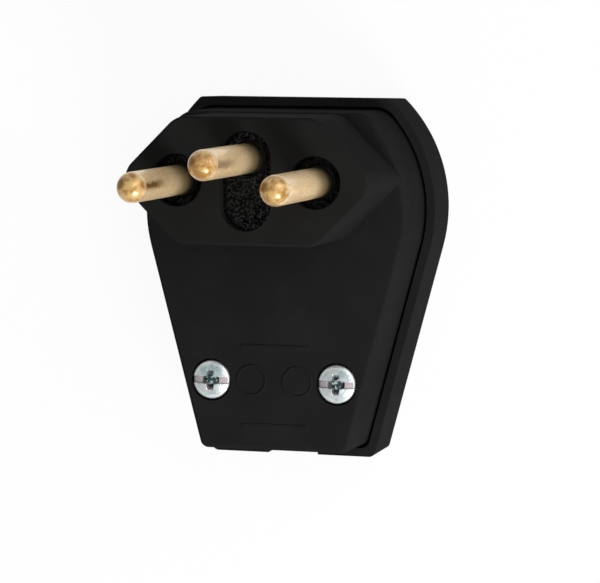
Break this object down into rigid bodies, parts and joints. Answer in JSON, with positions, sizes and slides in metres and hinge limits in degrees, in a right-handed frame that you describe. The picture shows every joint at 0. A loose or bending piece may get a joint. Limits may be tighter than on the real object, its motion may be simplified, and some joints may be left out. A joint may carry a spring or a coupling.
{
  "type": "three-pin plug",
  "caption": "Flat rewireable plug: round pins on a six-sided boss at the head, a tapered housing in two screwed shells, cord entry at the narrow end.",
  "frame": {"origin": "on the flat back, straight behind the midpoint between the line and neutral pins", "axes": "+Z out of the boss along the pins, +Y towards the flat edge at the head, the cord leaves towards -Y, the line pin is on -X"},
  "size_m": [0.04, 0.0493, 0.0499],
  "materials": {
    "black_plastic": "moulded, fine satin",
    "inner_plastic": "moulded, plain",
    "brass": "turned and polished",
    "plated_steel": "bright zinc plated"
  },
  "bodies": {
    "root": {"back_cover": "black_plastic", "clamp_screw_left": "plated_steel", "clamp_screw_right": "plated_steel", "clamp_washer_earth": "plated_steel", "clamp_washer_line": "plated_steel", "clamp_washer_neutral": "plated_steel", "cord_clamp": "inner_plastic", "front_shell": "black_plastic", "housing_nut_left": "plated_steel", "housing_nut_right": "plated_steel", "housing_screw_left": "plated_steel", "housing_screw_right": "plated_steel", "pin_earth": "brass", "pin_line": "brass", "pin_neutral": "brass", "pin_retainer": "inner_plastic", "retainer_screw_left": "plated_steel", "retainer_screw_right": "plated_steel", "terminal_screw_earth": "plated_steel", "terminal_screw_line": "plated_steel", "terminal_screw_neutral": "plated_steel"}
  },
  "joints": []
}
